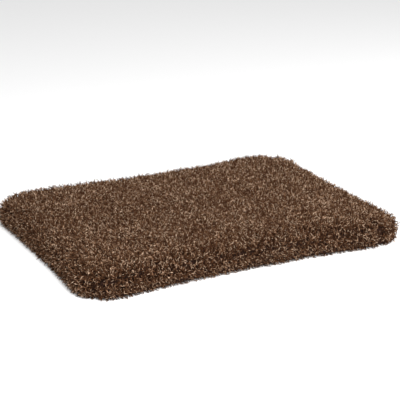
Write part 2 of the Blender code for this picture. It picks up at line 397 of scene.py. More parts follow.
def swell(form):
    # the fill pushes the cloth out between the seams that hold it
    scene = bpy.context.scene
    start = pointsOf(form.data)
    held = form.vertex_groups.new(name="sewn")
    sewn = (start[:, 2] < cushion["baseHeld"]) | (dartShare(start, cushion["dartHeld"]) > 0.5)
    held.add([int(i) for i in np.flatnonzero(sewn)], 1.0, "REPLACE")
    cloth = form.modifiers.new("fillPressure", "CLOTH")
    cloth.settings.use_pressure = True
    cloth.settings.uniform_pressure_force = cushion["pressure"]
    cloth.settings.effector_weights.gravity = 0
    cloth.settings.vertex_group_mass = held.name
    cloth.point_cache.frame_start = 1
    cloth.point_cache.frame_end = cushion["frames"]
    for step in range(1, cushion["frames"] + 1):
        scene.frame_set(step)
    swollen = evaluatedMesh(form, "swollen_cloth")
    moved = pointsOf(swollen) - start
    bpy.data.meshes.remove(swollen)
    form.modifiers.remove(cloth)
    scene.frame_set(1)
    reach = np.linalg.norm(moved, axis=1)
    say(f"the cloth moved {1000 * reach.max():.1f} mm at most, {1000 * reach.mean():.1f} mm on average")
    share = np.minimum(1, cushion["swellCap"] / np.maximum(reach, 1e-9))
    setPoints(form.data, start + moved * share[:, None])


def settleForm(form):
    # darts drawn in, lumps of fill showing through, then back to the size the cover was cut for
    mesh = form.data
    points, normals = pointsOf(mesh), normalsOf(mesh)
    drawnIn = cushion["dartDepth"] * dartShare(points, cushion["dartWidth"])
    drawnIn += crease["depth"] * creaseShare(points, crease["width"])
    points -= normals * drawnIn[:, None]
    lumps = cushion["lumpDepth"] * smoothNoise(points, cushion["lumpSize"], 1)
    lumps += cushion["fineLumpDepth"] * smoothNoise(points, cushion["fineLumpSize"], 2)
    points += normals * (lumps * np.clip(points[:, 2] / cushion["lumpFade"], 0, 1))[:, None]
    high, low = points.max(0), points.min(0)
    wanted = np.array(backingHigh - backingLow) / (high - low)
    points[:, :2] = (points[:, :2] - (high + low)[:2] / 2) * wanted[:2]
    points[:, 2] -= low[2]
    # only the crown gives way to the weight of its fill, so the edges keep their height
    tall = points[:, 2].max()
    excess = tall - (backingHigh.z - cushion["crownSag"])
    share = np.clip((points[:, 2] - cushion["sagFrom"]) / (tall - cushion["sagFrom"]), 0, 1)
    points[:, 2] -= excess * share * share * (3 - 2 * share)
    setPoints(mesh, points)
    say(f"crown lowered by {1000 * excess:.1f} mm")


# woven and knitted cloth, thread and fibre, each pattern in millimetres of the real thing

cloths = {
    "knitColour": "3a2114",
    "knitPaintedShade": "24130b",
    "knitCourse": 1.5,       # millimetres, drawn coarser than the real 0.8 so that it shows
    "knitStretch": 1.3,      # courses lie this much wider apart than ribs
    "knitRelief": 0.0004,    # metres, as are the other reliefs
    "weaveColour": "33291f",
    "weavePaintedShade": "1c1611",
    "weavePitch": 0.9,       # millimetres between threads, as in 600 denier cloth
    "weaveRelief": 0.0003,
    "weaveShadeContrast": 0.55,
    "weaveRoughness": (0.8, 0.55),
    "cloudTurns": 0.02,      # turns for each millimetre, as are the other turns
    "slubTurns": 0.6,
    "threadColour": "4a3529",
    "threadPaintedShade": 0.45,     # share of the colour left in the hollows, as painted shade
    "threadTurns": 2.2,
    "threadRelief": 0.0001,
    "fillColour": "ece9e0",
    "fillPaintedShade": "cfcabf",
    "fillTurns": 0.7,
    "fillRelief": 0.0012,
    "labelColour": "e9e6de",
    "labelPaintedShade": 0.8,
    "labelRib": 0.5,
    "labelRelief": 0.00008,
}


def millimetres(tree):
    # Object coordinates in millimetres, so that a noise scale is in turns for each millimetre
    place = addNode(tree, "ShaderNodeTexCoord").outputs["Object"]
    return addNode(tree, "ShaderNodeVectorMath", {0: place, "Scale": 1000.0}, operation="SCALE")


def wave(tree, value, pitch, phase=0.0):
    # a sine from 0 to 1 with the given pitch
    inputs = {0: value, 1: 2 * math.pi / pitch, 2: phase}
    turns = addNode(tree, "ShaderNodeMath", inputs, operation="MULTIPLY_ADD")
    swing = addNode(tree, "ShaderNodeMath", {0: turns}, operation="SINE")
    return addNode(tree, "ShaderNodeMath", {0: swing, 1: 0.5, 2: 0.5}, operation="MULTIPLY_ADD")


def paintedShadeAndColour(hexText, share):
    # the colour darkened as painted shade for the hollows, and the colour
    colour = linearColour(hexText)
    return tuple(share * c for c in colour[:3]) + (1.0,), colour


def finishSurface(tree, shader, share, shades, height, distance):
    # colour from the low shade to the high one by share, and relief in metres from height; where share
    # follows the relief, the low shade is painted shade in the hollows
    inputs = {"Factor": share, "A": shades[0], "B": shades[1]}
    colour = addNode(tree, "ShaderNodeMix", inputs, data_type="RGBA")
    tree.links.new(firstLive(colour.outputs), shader.inputs["Base Color"])
    bump = addNode(tree, "ShaderNodeBump", {"Height": height, "Distance": distance})
    tree.links.new(bump.outputs["Normal"], shader.inputs["Normal"])


def weaveHeight(tree, place, pitch):
    # plain weave: warp and weft cross over and under in turn
    axes = addNode(tree, "ShaderNodeSeparateXYZ", {"Vector": place})
    across = wave(tree, axes.outputs["X"], pitch)
    along = wave(tree, axes.outputs["Y"], pitch)
    slanted = {}
    for way in ("ADD", "SUBTRACT"):
        inputs = {0: axes.outputs["X"], 1: axes.outputs["Y"]}
        slant = addNode(tree, "ShaderNodeMath", inputs, operation=way)
        slanted[len(slanted)] = wave(tree, slant, 2 * pitch)
    over = addNode(tree, "ShaderNodeMath", slanted, operation="MULTIPLY")
    ridges = addNode(tree, "ShaderNodeMath", {0: across, 1: along}, operation="MAXIMUM")
    return addNode(tree, "ShaderNodeMath", {0: ridges, 1: over}, operation="MULTIPLY")


def warpKnit():
    # warp-knitted polyester ground: matt, dark, fine ribs crossed by courses, with painted shade darkening
    # the hollows between them
    material, tree, shader = newMaterial("warpKnitPolyester", 0.92, Specular_IOR_Level=0.25)
    place = millimetres(tree)
    axes = addNode(tree, "ShaderNodeSeparateXYZ", {"Vector": place})
    ribs = wave(tree, axes.outputs["X"], cloths["knitCourse"])
    courses = wave(tree, axes.outputs["Y"], cloths["knitStretch"] * cloths["knitCourse"])
    height = addNode(tree, "ShaderNodeMath", {0: ribs, 1: courses}, operation="MULTIPLY")
    # painted shade: the knit is darker where its relief is low
    shades = linearColour(cloths["knitPaintedShade"]), linearColour(cloths["knitColour"])
    finishSurface(tree, shader, height, shades, height, cloths["knitRelief"])
    return material


def plainWeave():
    # plain-woven filament polyester: hard wearing, faintly lustrous where the threads pass over, with
    # painted shade where they pass under and uneven patches of thread colour
    material, tree, shader = newMaterial("plainWeavePolyester", 0.62, Specular_IOR_Level=0.4)
    place = millimetres(tree)
    height = weaveHeight(tree, place, cloths["weavePitch"])
    inputs = {"Vector": place, "Scale": cloths["cloudTurns"], "Detail": 4.0}
    clouds = addNode(tree, "ShaderNodeTexNoise", inputs)
    inputs = {"Vector": place, "Scale": cloths["slubTurns"], "Detail": 2.0}
    slubs = addNode(tree, "ShaderNodeTexNoise", inputs)
    patches = addNode(tree, "ShaderNodeMath", {0: clouds, 1: slubs}, operation="MULTIPLY")
    # the colour is partly painted shade where the threads pass under and partly the thread's own uneven
    # tone
    inputs = {0: height, 1: cloths["weaveShadeContrast"], 2: patches}
    share = addNode(tree, "ShaderNodeMath", inputs, operation="MULTIPLY_ADD")
    shades = linearColour(cloths["weavePaintedShade"]), linearColour(cloths["weaveColour"])
    finishSurface(tree, shader, share, shades, height, cloths["weaveRelief"])
    matt, lustrous = cloths["weaveRoughness"]
    rough = addNode(tree, "ShaderNodeMapRange", {"Value": share, "To Min": matt, "To Max": lustrous})
    tree.links.new(rough.outputs["Result"], shader.inputs["Roughness"])
    return material


def sewingThread():
    # spun polyester sewing thread: matt, with the twist showing as fine slanting ridges and painted shade
    # in their hollows
    material, tree, shader = newMaterial("spunPolyesterThread", 0.75, Specular_IOR_Level=0.35)
    place = millimetres(tree)
    inputs = {"Vector": place, "Scale": cloths["threadTurns"], "Detail": 3.0}
    twist = addNode(tree, "ShaderNodeTexNoise", inputs)
    shades = paintedShadeAndColour(cloths["threadColour"], cloths["threadPaintedShade"])
    finishSurface(tree, shader, twist, shades, twist, cloths["threadRelief"])
    return material


def loosePolyester():
    # carded polyester fibre: soft white wadding with fluffy lumps, and painted shade in the hollows between
    # them
    material, tree, shader = newMaterial("cardedPolyesterFibre", 0.95, Specular_IOR_Level=0.2)
    place = millimetres(tree)
    inputs = {"Vector": place, "Scale": cloths["fillTurns"], "Detail": 6.0, "Distortion": 1.5}
    hairs = addNode(tree, "ShaderNodeTexNoise", inputs)
    shades = linearColour(cloths["fillPaintedShade"]), linearColour(cloths["fillColour"])
    finishSurface(tree, shader, hairs, shades, hairs, cloths["fillRelief"])
    return material


def satinRibbon():
    # satin-woven polyester ribbon: smooth and pale with a soft sheen across fine ribs, and painted shade
    # between the ribs
    gloss = {"Specular_IOR_Level": 0.5, "Sheen_Weight": 0.15}
    material, tree, shader = newMaterial("satinPolyesterRibbon", 0.38, **gloss)
    place = millimetres(tree)
    axes = addNode(tree, "ShaderNodeSeparateXYZ", {"Vector": place})
    ribs = wave(tree, axes.outputs["X"], cloths["labelRib"])
    shades = paintedShadeAndColour(cloths["labelColour"], cloths["labelPaintedShade"])
    finishSurface(tree, shader, ribs, shades, ribs, cloths["labelRelief"])
    return material


# the curly pile: crimped locks rooted all over the cover

pile = {
    "spacing": 0.0021,
    "seed": 7,
    "curlKinds": 12,
    "curlLength": 0.0184,
    "curlRadius": 0.00098,
    "curlSides": 3,
    "curlWidths": (0.70, 1.0, 1.08, 0.98, 0.68),  # ring by ring, as shares of the radius
    "curlUneven": (0.9, 1.1),
    "curlLean": (0.0, 0.25),
    "curlBend": (0.9, 2.5),  # radians from root to tip
    "straightBend": (0.2, 0.8),
    "straightEvery": 3,
    "bendPower": 1.4,
    "curlSwing": (0.8, 2.4),
    "pathSteps": 24,
    "ringTwist": 0.9,        # radians from ring to ring
    "smallest": 0.76,
    "largest": 1.30,         # few reach this, and they make the shaggy outline
    "sizePower": 2.2,
    "clumpSize": 0.008,
    "clumpPull": 36.0,       # lean for each metre away from the clump's middle
    "leanSpread": 0.48,
    "driftSize": 0.055,
    "driftPull": 0.55,
    "floorSoftness": 0.0017,
    "toneCells": 32,         # places for a lock's tone along the U of its map
    "toneSpread": 1.25,
    "tonePatch": 0.045,
    "patchShare": 0.5,
    "patchBase": 0.25,
    "topZones": (4, 2),
}

# the dark root colour is partly the yarn's own and partly painted shade; the tips' colours are partly their
# own and partly painted highlight
pileFinish = {
    "rootColourAndShade": "1e0d05",
    "bodyColour": "482d1b",
    "tips": [(0.0, "442b1b"), (0.3, "664a34"), (0.58, "896850"), (0.82, "b69276"), (1.0, "d6b79b")],
    "rootEnd": 0.50,
    "tipAndHighlightStart": 0.52,
    "twists": 3.6,
    "twistShadeStripe": 0.42,
}


def plushYarn():
    # crimped polyester plush: matt, with light tips that are partly the yarn's own colour and partly
    # painted highlight, darker roots that are partly its own colour and partly painted shade, and painted
    # light and shade in slanting stripes along the twist of each lock
    material, tree, shader = newMaterial("crimpedPolyesterPlush", 0.8, Specular_IOR_Level=0.09)
    finish = pileFinish
    lock = addNode(tree, "ShaderNodeUVMap", uv_map="OFBake")
    axes = addNode(tree, "ShaderNodeSeparateXYZ", {"Vector": lock})
    inputs = {0: axes.outputs["X"], 1: float(pile["toneCells"])}
    cells = addNode(tree, "ShaderNodeMath", inputs, operation="MULTIPLY")
    cell = addNode(tree, "ShaderNodeMath", {0: cells}, operation="FLOOR")
    tone = addNode(tree, "ShaderNodeMath", {0: cell, 1: pile["toneCells"] - 1.0}, operation="DIVIDE")
    tips = addNode(tree, "ShaderNodeValToRGB", {"Fac": tone})
    ramp = tips.color_ramp
    while len(ramp.elements) < len(finish["tips"]):
        ramp.elements.new(0.5)
    for element, (place, hexText) in zip(ramp.elements, finish["tips"]):
        element.position = place
        element.color = linearColour(hexText)
    along = axes.outputs["Y"]
    soft = {"interpolation_type": "SMOOTHSTEP"}
    # darker towards the root: partly the yarn's own colour, partly painted shade; lighter at the tip:
    # partly its own colour, partly painted highlight
    toBody = addNode(tree, "ShaderNodeMapRange", {"Value": along, "From Max": finish["rootEnd"]}, **soft)
    toTipAndHighlight = addNode(tree, "ShaderNodeMapRange", {"Value": along, "From Min": finish["tipAndHighlightStart"]}, **soft)
    inputs = {
        "Factor": toBody,
        "A": linearColour(finish["rootColourAndShade"]),
        "B": linearColour(finish["bodyColour"]),
    }
    body = addNode(tree, "ShaderNodeMix", inputs, data_type="RGBA")
    colour = addNode(
        tree, "ShaderNodeMix", {"Factor": toTipAndHighlight, "A": body, "B": tips.outputs["Color"]}, data_type="RGBA"
    )
    # painted light and shade: each lock's colour is made lighter and darker in slanting stripes along its
    # twist
    inputs = {0: along, 1: finish["twists"], 2: cells}
    turned = addNode(tree, "ShaderNodeMath", inputs, operation="MULTIPLY_ADD")
    inputs = {
        "Value": wave(tree, turned, 1.0),
        "To Min": 1 - finish["twistShadeStripe"],
        "To Max": 1 + finish["twistShadeStripe"],
    }
    shade = addNode(tree, "ShaderNodeMapRange", inputs)
    twistShaded = addNode(tree, "ShaderNodeVectorMath", {0: colour, "Scale": shade}, operation="SCALE")
    tree.links.new(twistShaded.outputs["Vector"], shader.inputs["Base Color"])
    return material


def curlPath(index, generator):
    # the middle line of one lock, which rises, bends over and turns aside
    length = pile["curlLength"] * generator.uniform(*pile["curlUneven"])
    lean = generator.uniform(*pile["curlLean"])
    bends = pile["curlBend"] if index % pile["straightEvery"] else pile["straightBend"]
    bend = generator.uniform(*bends)
    swing = generator.uniform(*pile["curlSwing"]) * generator.choice((-1, 1))
    steps = pile["pathSteps"]
    place = Vector((0, 0, 0))
    path = [place]
    for i in range(steps):
        share = (i + 0.5) / steps
        tilt = lean + bend * share ** pile["bendPower"]
        heading = swing * share * 2
        flat = math.sin(tilt)
        step = Vector((flat * math.cos(heading), flat * math.sin(heading), math.cos(tilt)))
        place = place + step * length / steps
        path.append(place)
    return path


def makeCurl(index, generator):
    # one lock as a closed tapered tube whose map runs round it in U and along it in V
    path = curlPath(index, generator)
    steps, sides, widths = pile["pathSteps"], pile["curlSides"], pile["curlWidths"]
    rings = len(widths)
    points, shares = [], []
    for ring, width in enumerate(widths):
        share = ring / rings
        at = round(share * steps)
        forward = (path[min(at + 1, steps)] - path[max(at - 1, 0)]).normalized()
        side = forward.cross(Vector((0.3, 1, 0.2))).normalized()
        up = forward.cross(side)
        for s in range(sides):
            angle = 2 * math.pi * s / sides + pile["ringTwist"] * ring
            radius = pile["curlRadius"] * width
            points.append(path[at] + radius * (math.cos(angle) * side + math.sin(angle) * up))
            shares.append(share)
    points.append(path[-1])
    shares.append(1.0)
    faces, corners = [tuple(range(sides))], [[0.5] * sides]
    for ring in range(rings - 1):
        low = ring * sides
        for s in range(sides):
            after = (s + 1) % sides
            faces.append((low + s, low + sides + s, low + sides + after, low + after))
            corners.append([s / sides, s / sides, (s + 1) / sides, (s + 1) / sides])
    low = (rings - 1) * sides
    for s in range(sides):
        faces.append((low + s, len(points) - 1, low + (s + 1) % sides))
        corners.append([s / sides, (s + 0.5) / sides, (s + 1) / sides])
    mesh = meshFrom(f"curl_{index:02d}", points, faces)
    around = mesh.uv_layers.new(name="OFBake")
    for face, turns in zip(mesh.polygons, corners):
        for loop, turn in zip(face.loop_indices, turns):
            share = shares[mesh.loops[loop].vertex_index]
            around.data[loop].uv = (0.1 + 0.8 * turn, 0.02 + 0.96 * share)  # clear of its cell's edges
    return bpy.data.objects.new(mesh.name, turnOutward(mesh))


def makeCurlSet():
    generator = np.random.default_rng(pile["seed"])
    collection = bpy.data.collections.new("curlSet")
    bpy.context.scene.collection.children.link(collection)
    for index in range(pile["curlKinds"]):
        collection.objects.link(makeCurl(index, generator))
    return collection


def newTree(name, inputs):
    # a geometry tree with named inputs, its group input node, and the identifier of each input
    tree = bpy.data.node_groups.new(name, "GeometryNodeTree")
    tree.interface.new_socket("Geometry", in_out="INPUT", socket_type="NodeSocketGeometry")
    tree.interface.new_socket("Geometry", in_out="OUTPUT", socket_type="NodeSocketGeometry")
    keys = {}
    for title, kind in inputs.items():
        socket = tree.interface.new_socket(title, in_out="INPUT", socket_type="NodeSocket" + kind)
        keys[title] = socket.identifier
    return tree, tree.nodes.new("NodeGroupInput"), keys


def makePileTree():
    tree, given, keys = newTree(
        "curlyPileOnCover",
        {
            "Zone": "Int",
            "Spacing": "Float",
            "Seed": "Int",
            "Curls": "Collection",
            "Clump Size": "Float",
            "Clump Pull": "Float",
            "Lean Spread": "Float",
            "Drift Size": "Float",
            "Drift Pull": "Float",
            "Smallest": "Float",
            "Largest": "Float",
            "Tone Patch": "Float",
            "Floor Softness": "Float",
            "Material": "Material",
        },
    )
    wish = given.outputs
    place = addNode(tree, "GeometryNodeInputPosition")

    # the roots, evenly strewn over the zone's faces
    zone = addNode(tree, "GeometryNodeInputNamedAttribute", {"Name": "zone"}, data_type="INT")
    inputs = {"A": zone, "B": wish["Zone"]}
    inZone = addNode(tree, "FunctionNodeCompare", inputs, data_type="INT", operation="EQUAL")
    inputs = {
        "Mesh": wish["Geometry"],
        "Selection": inZone,
        "Distance Min": wish["Spacing"],
        "Density Max": 1e6,
        "Seed": wish["Seed"],
    }
    roots = addNode(tree, "GeometryNodeDistributePointsOnFaces", inputs, distribute_method="POISSON")

    # which way each lock stands: off the cloth, in to its clump, with the drift, astray and as combed
    pitch = addNode(tree, "ShaderNodeMath", {0: 1.0, 1: wish["Clump Size"]}, operation="DIVIDE")
    clumps = addNode(tree, "ShaderNodeTexVoronoi", {"Vector": place, "Scale": pitch})
    inputs = {0: clumps.outputs["Position"], 1: place}
    toClump = addNode(tree, "ShaderNodeVectorMath", inputs, operation="SUBTRACT")
    inputs = {0: toClump, "Scale": wish["Clump Pull"]}
    pulled = addNode(tree, "ShaderNodeVectorMath", inputs, operation="SCALE")
    pitch = addNode(tree, "ShaderNodeMath", {0: 1.0, 1: wish["Drift Size"]}, operation="DIVIDE")
    drifts = addNode(tree, "ShaderNodeTexNoise", {"Vector": place, "Scale": pitch, "Detail": 1.0})
    inputs = {0: drifts.outputs["Color"], 1: (0.5, 0.5, 0.5)}
    drift = addNode(tree, "ShaderNodeVectorMath", inputs, operation="SUBTRACT")
    inputs = {0: drift, "Scale": wish["Drift Pull"]}
    drifted = addNode(tree, "ShaderNodeVectorMath", inputs, operation="SCALE")
    inputs = {0: (1.0, 1.0, 1.0), "Scale": wish["Lean Spread"]}
    spread = addNode(tree, "ShaderNodeVectorMath", inputs, operation="SCALE")
    against = addNode(tree, "ShaderNodeVectorMath", {0: spread, "Scale": -1.0}, operation="SCALE")
    inputs = {"Min": against, "Max": spread, "Seed": 11}
    stray = addNode(tree, "FunctionNodeRandomValue", inputs, data_type="FLOAT_VECTOR")
    comb = addNode(tree, "GeometryNodeInputNamedAttribute", {"Name": "comb"}, data_type="FLOAT_VECTOR")
    way = roots.outputs["Normal"]
    for push in (pulled, drifted, stray, comb):
        way = addNode(tree, "ShaderNodeVectorMath", {0: way, 1: push}, operation="ADD")
    upright = addNode(tree, "FunctionNodeAlignRotationToVector", {"Vector": way}, axis="Z")
    inputs = {"Min": 0.0, "Max": 2 * math.pi, "Seed": 12}
    angle = addNode(tree, "FunctionNodeRandomValue", inputs, data_type="FLOAT")
    spin = addNode(tree, "FunctionNodeAxisAngleToRotation", {"Axis": (0.0, 0.0, 1.0), "Angle": angle})
    inputs = {"Rotation": upright, "Rotate By": spin}
    turned = addNode(tree, "FunctionNodeRotateRotation", inputs, rotation_space="LOCAL")

    # how long each lock is: most are short and a few are long
    inputs = {"Min": 0.0, "Max": 1.0, "Seed": 13}
    chance = addNode(tree, "FunctionNodeRandomValue", inputs, data_type="FLOAT")
    rare = addNode(tree, "ShaderNodeMath", {0: chance, 1: pile["sizePower"]}, operation="POWER")
    inputs = {0: wish["Largest"], 1: wish["Smallest"]}
    growth = addNode(tree, "ShaderNodeMath", inputs, operation="SUBTRACT")
    inputs = {0: rare, 1: growth, 2: wish["Smallest"]}
    size = addNode(tree, "ShaderNodeMath", inputs, operation="MULTIPLY_ADD")
    length = addNode(tree, "GeometryNodeInputNamedAttribute", {"Name": "lockLength"}, data_type="FLOAT")
    scale = addNode(tree, "ShaderNodeMath", {0: size, 1: length}, operation="MULTIPLY")
    inputs = {"Collection": wish["Curls"], "Separate Children": True}
    curls = addNode(tree, "GeometryNodeCollectionInfo", inputs)
    inputs = {"Min": 0, "Max": pile["curlKinds"] - 1, "Seed": 14}
    kind = addNode(tree, "FunctionNodeRandomValue", inputs, data_type="INT")
    inputs = {
        "Points": roots,
        "Instance": curls,
        "Pick Instance": True,
        "Instance Index": kind,
        "Rotation": turned,
        "Scale": scale,
    }
    locks = addNode(tree, "GeometryNodeInstanceOnPoints", inputs)

    # the tone of each lock: its own, on broad patches of lighter and darker pile
    pitch = addNode(tree, "ShaderNodeMath", {0: 1.0, 1: wish["Tone Patch"]}, operation="DIVIDE")
    patches = addNode(tree, "ShaderNodeTexNoise", {"Vector": place, "Scale": pitch, "Detail": 2.0})
    inputs = {"Min": -0.5, "Max": 0.5, "Seed": 15}
    own = addNode(tree, "FunctionNodeRandomValue", inputs, data_type="FLOAT")
    inputs = {0: patches, 1: pile["patchShare"], 2: pile["patchBase"]}
    ground = addNode(tree, "ShaderNodeMath", inputs, operation="MULTIPLY_ADD")
    inputs = {0: own, 1: pile["toneSpread"], 2: ground}
    tone = addNode(tree, "ShaderNodeMath", inputs, operation="MULTIPLY_ADD")
    tone = addNode(tree, "ShaderNodeMath", {0: tone, 1: 0.0}, operation="MAXIMUM")
    tone = addNode(tree, "ShaderNodeMath", {0: tone, 1: 0.999}, operation="MINIMUM")
    inputs = {0: tone, 1: float(pile["toneCells"])}
    cells = addNode(tree, "ShaderNodeMath", inputs, operation="MULTIPLY")
    cell = addNode(tree, "ShaderNodeMath", {0: cells}, operation="FLOOR")
    inputs = {"Geometry": locks, "Name": "toneCell", "Value": cell}
    settings = {"data_type": "FLOAT", "domain": "INSTANCE"}
    toned = addNode(tree, "GeometryNodeStoreNamedAttribute", inputs, **settings)
    real = addNode(tree, "GeometryNodeRealizeInstances", {"Geometry": toned})

    # locks that would dip into the floor are pressed flat just above it
    axes = addNode(tree, "ShaderNodeSeparateXYZ", {"Vector": place})
    soft = wish["Floor Softness"]
    over = addNode(tree, "ShaderNodeMath", {0: axes.outputs["Z"], 1: soft}, operation="SUBTRACT")
    above = addNode(tree, "ShaderNodeMath", {0: over, 1: 0.0}, operation="MAXIMUM")
    ratio = addNode(tree, "ShaderNodeMath", {0: axes.outputs["Z"], 1: soft}, operation="DIVIDE")
    below = addNode(tree, "ShaderNodeMath", {0: ratio, 1: 1.0}, operation="SUBTRACT")
    share = addNode(tree, "ShaderNodeMath", {0: below, 1: 0.0}, operation="MINIMUM")
    curve = addNode(tree, "ShaderNodeMath", {0: share}, operation="EXPONENT")
    pressed = addNode(tree, "ShaderNodeMath", {0: curve, 1: soft, 2: above}, operation="MULTIPLY_ADD")
    inputs = {"X": axes.outputs["X"], "Y": axes.outputs["Y"], "Z": pressed}
    lifted = addNode(tree, "ShaderNodeCombineXYZ", inputs)
    laid = addNode(tree, "GeometryNodeSetPosition", {"Geometry": real, "Position": lifted})

    # the lock's own map is moved to the cell of its tone
    ownMap = addNode(tree, "GeometryNodeInputNamedAttribute", {"Name": "OFBake"}, data_type="FLOAT_VECTOR")
    stored = addNode(tree, "GeometryNodeInputNamedAttribute", {"Name": "toneCell"}, data_type="FLOAT")
    mapAxes = addNode(tree, "ShaderNodeSeparateXYZ", {"Vector": ownMap})
    moved = addNode(tree, "ShaderNodeMath", {0: mapAxes.outputs["X"], 1: stored}, operation="ADD")
    inputs = {0: moved, 1: float(pile["toneCells"])}
    across = addNode(tree, "ShaderNodeMath", inputs, operation="DIVIDE")
    shifted = addNode(tree, "ShaderNodeCombineXYZ", {"X": across, "Y": mapAxes.outputs["Y"]})
    inputs = {"Geometry": laid, "Name": "OFBake", "Value": shifted}
    settings = {"data_type": "FLOAT2", "domain": "CORNER"}
    mapped = addNode(tree, "GeometryNodeStoreNamedAttribute", inputs, **settings)
    clean = addNode(tree, "GeometryNodeRemoveAttribute", {"Geometry": mapped, "Name": "toneCell"})
    painted = addNode(tree, "GeometryNodeSetMaterial", {"Geometry": clean, "Material": wish["Material"]})
    addNode(tree, "NodeGroupOutput", {"Geometry": painted})
    return tree, keys


topColumns = ("left", "midleft", "midright", "right")
zoneNames = [f"pile_top_{column}_{row}" for column in topColumns for row in ("front", "back")]
zoneNames += ["pile_front", "pile_right", "pile_back", "pile_left"]

combing = {
    "sideTop": 0.036,        # from here down the pile is on the sides
    "sideFade": 0.02,
    "sideDroop": 0.04,
    "footHeight": 0.022,
    "footLift": 0.28,
    "awayFromDart": 0.7,
    "dartReach": 0.010,
    "dartSlit": 0.0045,
    "dartShorter": 0.78,
    "cornerLonger": 1.10,
    "cornerFrom": 0.02,      # from this far out of the corner's centre
    "cornerFade": 0.05,
    "sideShorter": 0.92,
    "unevenSize": 0.022,
    "uneven": 0.09,
    "footShorter": 0.70,
    "rootLowest": 0.0022,
    "sideFacing": 0.5,       # faces that point up less than this belong to the sides' zones
}


def overLabel(points):
    # the stretch of the back where the pile is kept off the label
    aside = np.abs(points[:, 0] - label["fromMiddle"])
    return (points[:, 1] > 0) & (aside < label["width"] / 2 + label["sideRoom"])


def writeAttribute(mesh, name, kind, domain, values):
    attribute = mesh.attributes.new(name, kind, domain)
    key = "vector" if kind == "FLOAT_VECTOR" else "value"
    attribute.data.foreach_set(key, np.asarray(values).ravel())


def combCover(mesh):
    # tells the pile which way the locks lean at each point and how long they are
    points = pointsOf(mesh)
    height = points[:, 2]
    onSide = np.clip((combing["sideTop"] - height) / combing["sideFade"], 0, 1)
    comb = np.zeros_like(points)
    low = np.clip(1 - height / combing["footHeight"], 0, 1)
    comb[:, 2] += combing["footLift"] * low - combing["sideDroop"] * onSide
    comb[:, 2] += label["pileLift"] * low * overLabel(points)
    sign = np.sign(points[:, :2])
    partings = [
        (crease["angle"], crease["away"] * creaseShare(points, crease["reach"])),
        (dartAngle, combing["awayFromDart"] * dartShare(points, combing["dartReach"])),
    ]
    for angle, share in partings:
        aside, along = cornerLine(points, angle)
        comb[:, 0] -= share * np.sign(aside) * math.sin(angle) * sign[:, 0]
        comb[:, 1] += share * np.sign(aside) * math.cos(angle) * sign[:, 1]
    cornerShare = np.clip((along - combing["cornerFrom"]) / combing["cornerFade"], 0, 1)
    longer = 1 + (combing["cornerLonger"] - 1) * cornerShare
    longer *= 1 - (1 - combing["footShorter"]) * low
    longer *= 1 - (1 - combing["sideShorter"]) * onSide
    longer *= 1 - (1 - combing["dartShorter"]) * dartShare(points, combing["dartSlit"])
    longer *= 1 - (1 - crease["shorter"]) * creaseShare(points, crease["slit"])
    longer *= 1 + combing["uneven"] * smoothNoise(points, combing["unevenSize"], 8)
    writeAttribute(mesh, "comb", "FLOAT_VECTOR", "POINT", comb.astype(np.float32))
    writeAttribute(mesh, "lockLength", "FLOAT", "POINT", longer.astype(np.float32))


def zoneCover(mesh):
    # numbers each face's zone: the top in columns and rows, then front, right, back and left
    count = len(mesh.polygons)
    flat = np.zeros(count * 3, np.float32)
    mesh.polygons.foreach_get("center", flat)
    centres = flat.reshape(-1, 3).copy()
    mesh.polygons.foreach_get("normal", flat)
    facing = flat.reshape(-1, 3)
    columns, rows = pile["topZones"]
    fromLeft = (centres[:, 0] - backingLow.x) / (backingHigh.x - backingLow.x)
    column = np.clip((fromLeft * columns).astype(int), 0, columns - 1)
    row = (centres[:, 1] > 0).astype(int)
    zone = column * rows + row
    side = facing[:, 2] < combing["sideFacing"]
    _, faceOut = planPlace(centres)
    leftRight = np.abs(faceOut[:, 0]) > np.abs(faceOut[:, 1])
    sideZone = np.where(leftRight, np.where(centres[:, 0] > 0, 1, 3), np.where(centres[:, 1] > 0, 2, 0))
    zone = np.where(side, columns * rows + sideZone, zone)
    lowest = np.where(overLabel(centres), label["pileFoot"], combing["rootLowest"])
    zone = np.where(centres[:, 2] < lowest, -1, zone)
    writeAttribute(mesh, "zone", "INT", "FACE", zone.astype(np.int32))


def growPile(cover):
    curls = makeCurlSet()
    tree, keys = makePileTree()
    yarn = plushYarn()
    wanted = {
        "Spacing": pile["spacing"],
        "Curls": curls,
        "Clump Size": pile["clumpSize"],
        "Clump Pull": pile["clumpPull"],
        "Lean Spread": pile["leanSpread"],
        "Drift Size": pile["driftSize"],
        "Drift Pull": pile["driftPull"],
        "Smallest": pile["smallest"],
        "Largest": pile["largest"],
        "Tone Patch": pile["tonePatch"],
        "Floor Softness": pile["floorSoftness"],
        "Material": yarn,
    }
    made = []
    for zone, name in enumerate(zoneNames):
        ground = newPiece("ground", cover.data)
        grow = ground.modifiers.new("grow", "NODES")
        grow.node_group = tree
        for title, value in {**wanted, "Zone": zone, "Seed": pile["seed"] + zone}.items():
            grow[keys[title]] = value
        mesh = evaluatedMesh(ground, name)
        bpy.data.objects.remove(ground)
        made.append(newPiece(name, mesh))
        say(f"{name}: {len(mesh.loops) - 2 * len(mesh.polygons)} triangles")
    for curl in list(curls.objects):
        bpy.data.objects.remove(curl)
    bpy.data.collections.remove(curls)
    return made


# the cover's knitted ground, open below where the base panel closes it

coverCloth = {
    "thickness": 0.0014,
    "edgeHeight": 0.0008,
}


